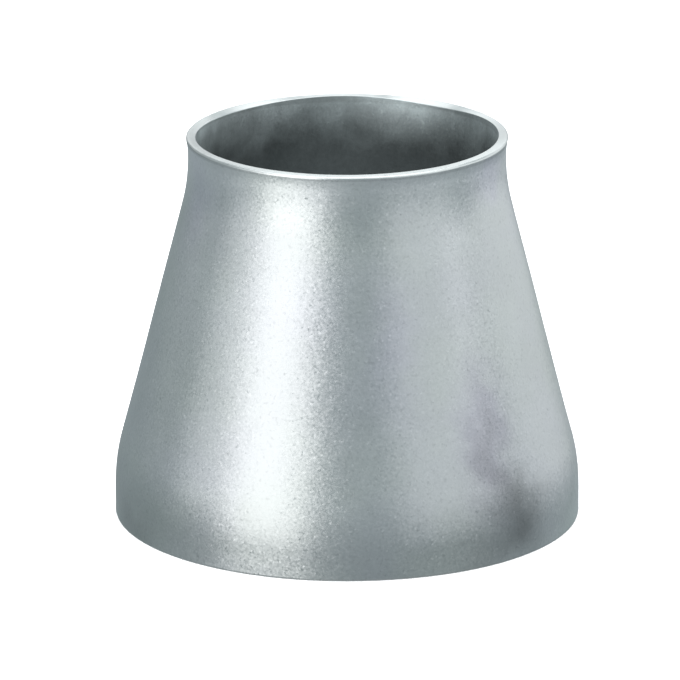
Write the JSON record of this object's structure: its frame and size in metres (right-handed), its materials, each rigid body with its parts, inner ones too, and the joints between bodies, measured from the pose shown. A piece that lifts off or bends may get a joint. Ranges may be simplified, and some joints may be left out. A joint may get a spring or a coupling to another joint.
{
  "type": "concentric reducer",
  "caption": "Thin-walled butt-weld concentric pipe reducer: a short straight skirt, a smooth cone and a straight neck on one axis, open from end to end.",
  "frame": {"origin": "centre of the large end's face, on the bore axis", "axes": "+Z along the bore axis, from the large end to the small end; X and Y are free, because the part is round"},
  "size_m": [0.1683, 0.1682, 0.14],
  "materials": {
    "blasted_stainless": "shot-blasted and pickled austenitic stainless steel, matt and fine-grained, with both end faces machined bright"
  },
  "bodies": {
    "root": {"reducer_body": "blasted_stainless"}
  },
  "joints": []
}
